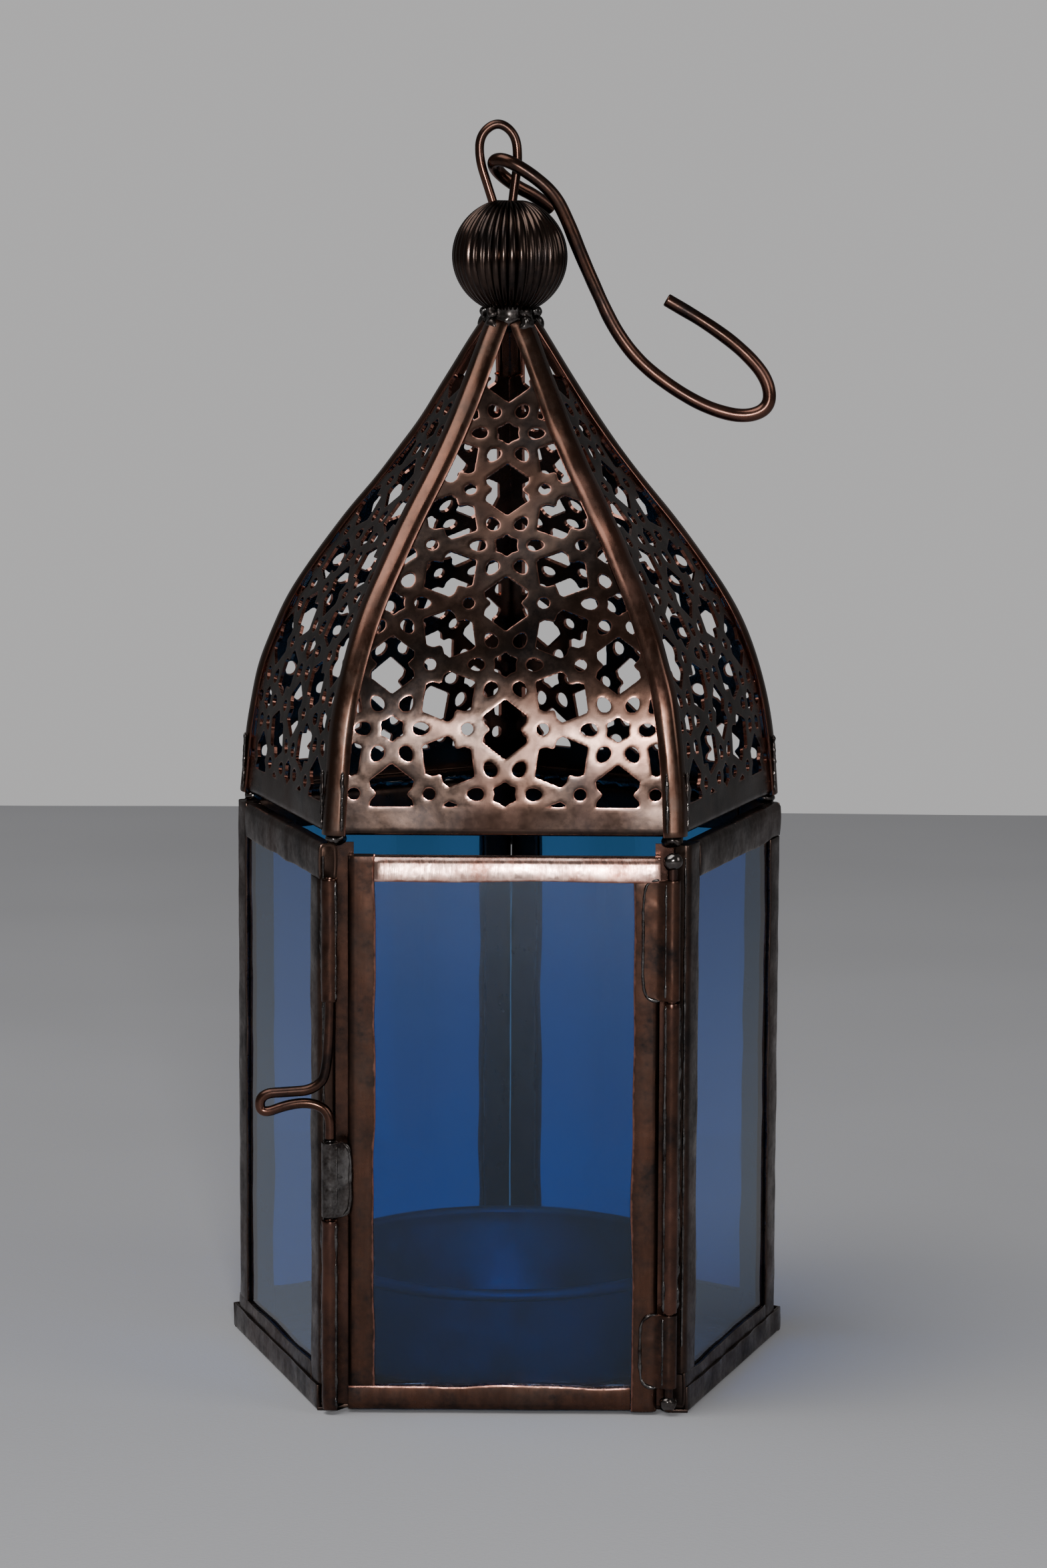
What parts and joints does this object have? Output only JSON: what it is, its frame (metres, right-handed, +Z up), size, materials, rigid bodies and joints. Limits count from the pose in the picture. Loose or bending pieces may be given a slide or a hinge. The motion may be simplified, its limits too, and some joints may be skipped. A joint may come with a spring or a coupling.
{
  "type": "tealight holder",
  "caption": "Five-sided hanging tealight lantern with glazed walls, a hinged door with a drop bolt, a pierced domed roof, a finial ball, a wire loop and an S-hook.",
  "frame": {"origin": "centre of the five-sided foot, on the surface that the lantern stands on", "axes": "+Z up along the lantern's axis, -Y towards the door, +X towards the hinge side"},
  "size_m": [0.0694, 0.0667, 0.1518],
  "materials": {
    "antique_copper": "antique copper over folded sheet, satin lacquer",
    "pierced_sheet": "antique copper over pierced sheet, satin lacquer",
    "copper_wire": "dark antique copper wire, glossy lacquer",
    "finial": "dark antique copper, fluted, glossy",
    "solder": "dull grey solder",
    "cup_sheet": "blackened sheet",
    "blue_glass": "clear blue glass"
  },
  "bodies": {
    "lantern": {"base_tray": "antique_copper", "corner_solder": "solder", "finial_ball": "finial", "finial_collar": "antique_copper", "front_stop_left": "antique_copper", "front_stop_right": "antique_copper", "hanging_loop": "copper_wire", "hinge_barrel": "antique_copper", "hinge_pin": "copper_wire", "hinge_pin_solder": "solder", "latch_guide": "antique_copper", "latch_lower_guide": "antique_copper", "left_panel_bottom_rail": "antique_copper", "left_panel_glass": "blue_glass", "left_panel_left_stile": "antique_copper", "left_panel_right_stile": "antique_copper", "left_panel_top_rail": "antique_copper", "rear_left_panel_bottom_rail": "antique_copper", "rear_left_panel_glass": "blue_glass", "rear_left_panel_left_stile": "antique_copper", "rear_left_panel_right_stile": "antique_copper", "rear_left_panel_top_rail": "antique_copper", "rear_right_panel_bottom_rail": "antique_copper", "rear_right_panel_glass": "blue_glass", "rear_right_panel_left_stile": "antique_copper", "rear_right_panel_right_stile": "antique_copper", "rear_right_panel_top_rail": "antique_copper", "right_panel_bottom_rail": "antique_copper", "right_panel_glass": "blue_glass", "right_panel_left_stile": "antique_copper", "right_panel_right_stile": "antique_copper", "right_panel_top_rail": "antique_copper", "roof_gore_front": "pierced_sheet", "roof_gore_left": "pierced_sheet", "roof_gore_rear_left": "pierced_sheet", "roof_gore_rear_right": "pierced_sheet", "roof_gore_right": "pierced_sheet", "roof_posts": "solder", "roof_rib_far_left": "antique_copper", "roof_rib_far_right": "antique_copper", "roof_rib_front_left": "antique_copper", "roof_rib_front_right": "antique_copper", "roof_rib_rear": "antique_copper", "tealight_cup": "cup_sheet"},
    "door": {"door_bottom_rail": "antique_copper", "door_glass": "blue_glass", "door_left_stile": "antique_copper", "door_lower_knuckle": "antique_copper", "door_right_stile": "antique_copper", "door_top_rail": "antique_copper", "door_upper_knuckle": "antique_copper", "latch_keeper": "antique_copper"},
    "latch": {"latch_bolt": "copper_wire"},
    "hook": {"s_hook": "copper_wire"}
  },
  "joints": [
    {"name": "door_hinge", "type": "hinge", "parent": "lantern", "child": "door", "pos_m": [0.01961, -0.02913, 0], "axis": [0, 0, 1], "range_deg": [0, 190]},
    {"name": "latch_slide", "type": "slide", "parent": "lantern", "child": "latch", "axis": [0, 0, -1], "range_m": [0, 0.0024]},
    {"name": "hook_swing", "type": "hinge", "parent": "lantern", "child": "hook", "pos_m": [-0.0025, 0, 0.1481], "axis": [0, -1, 0], "range_deg": [0, 120]}
  ]
}
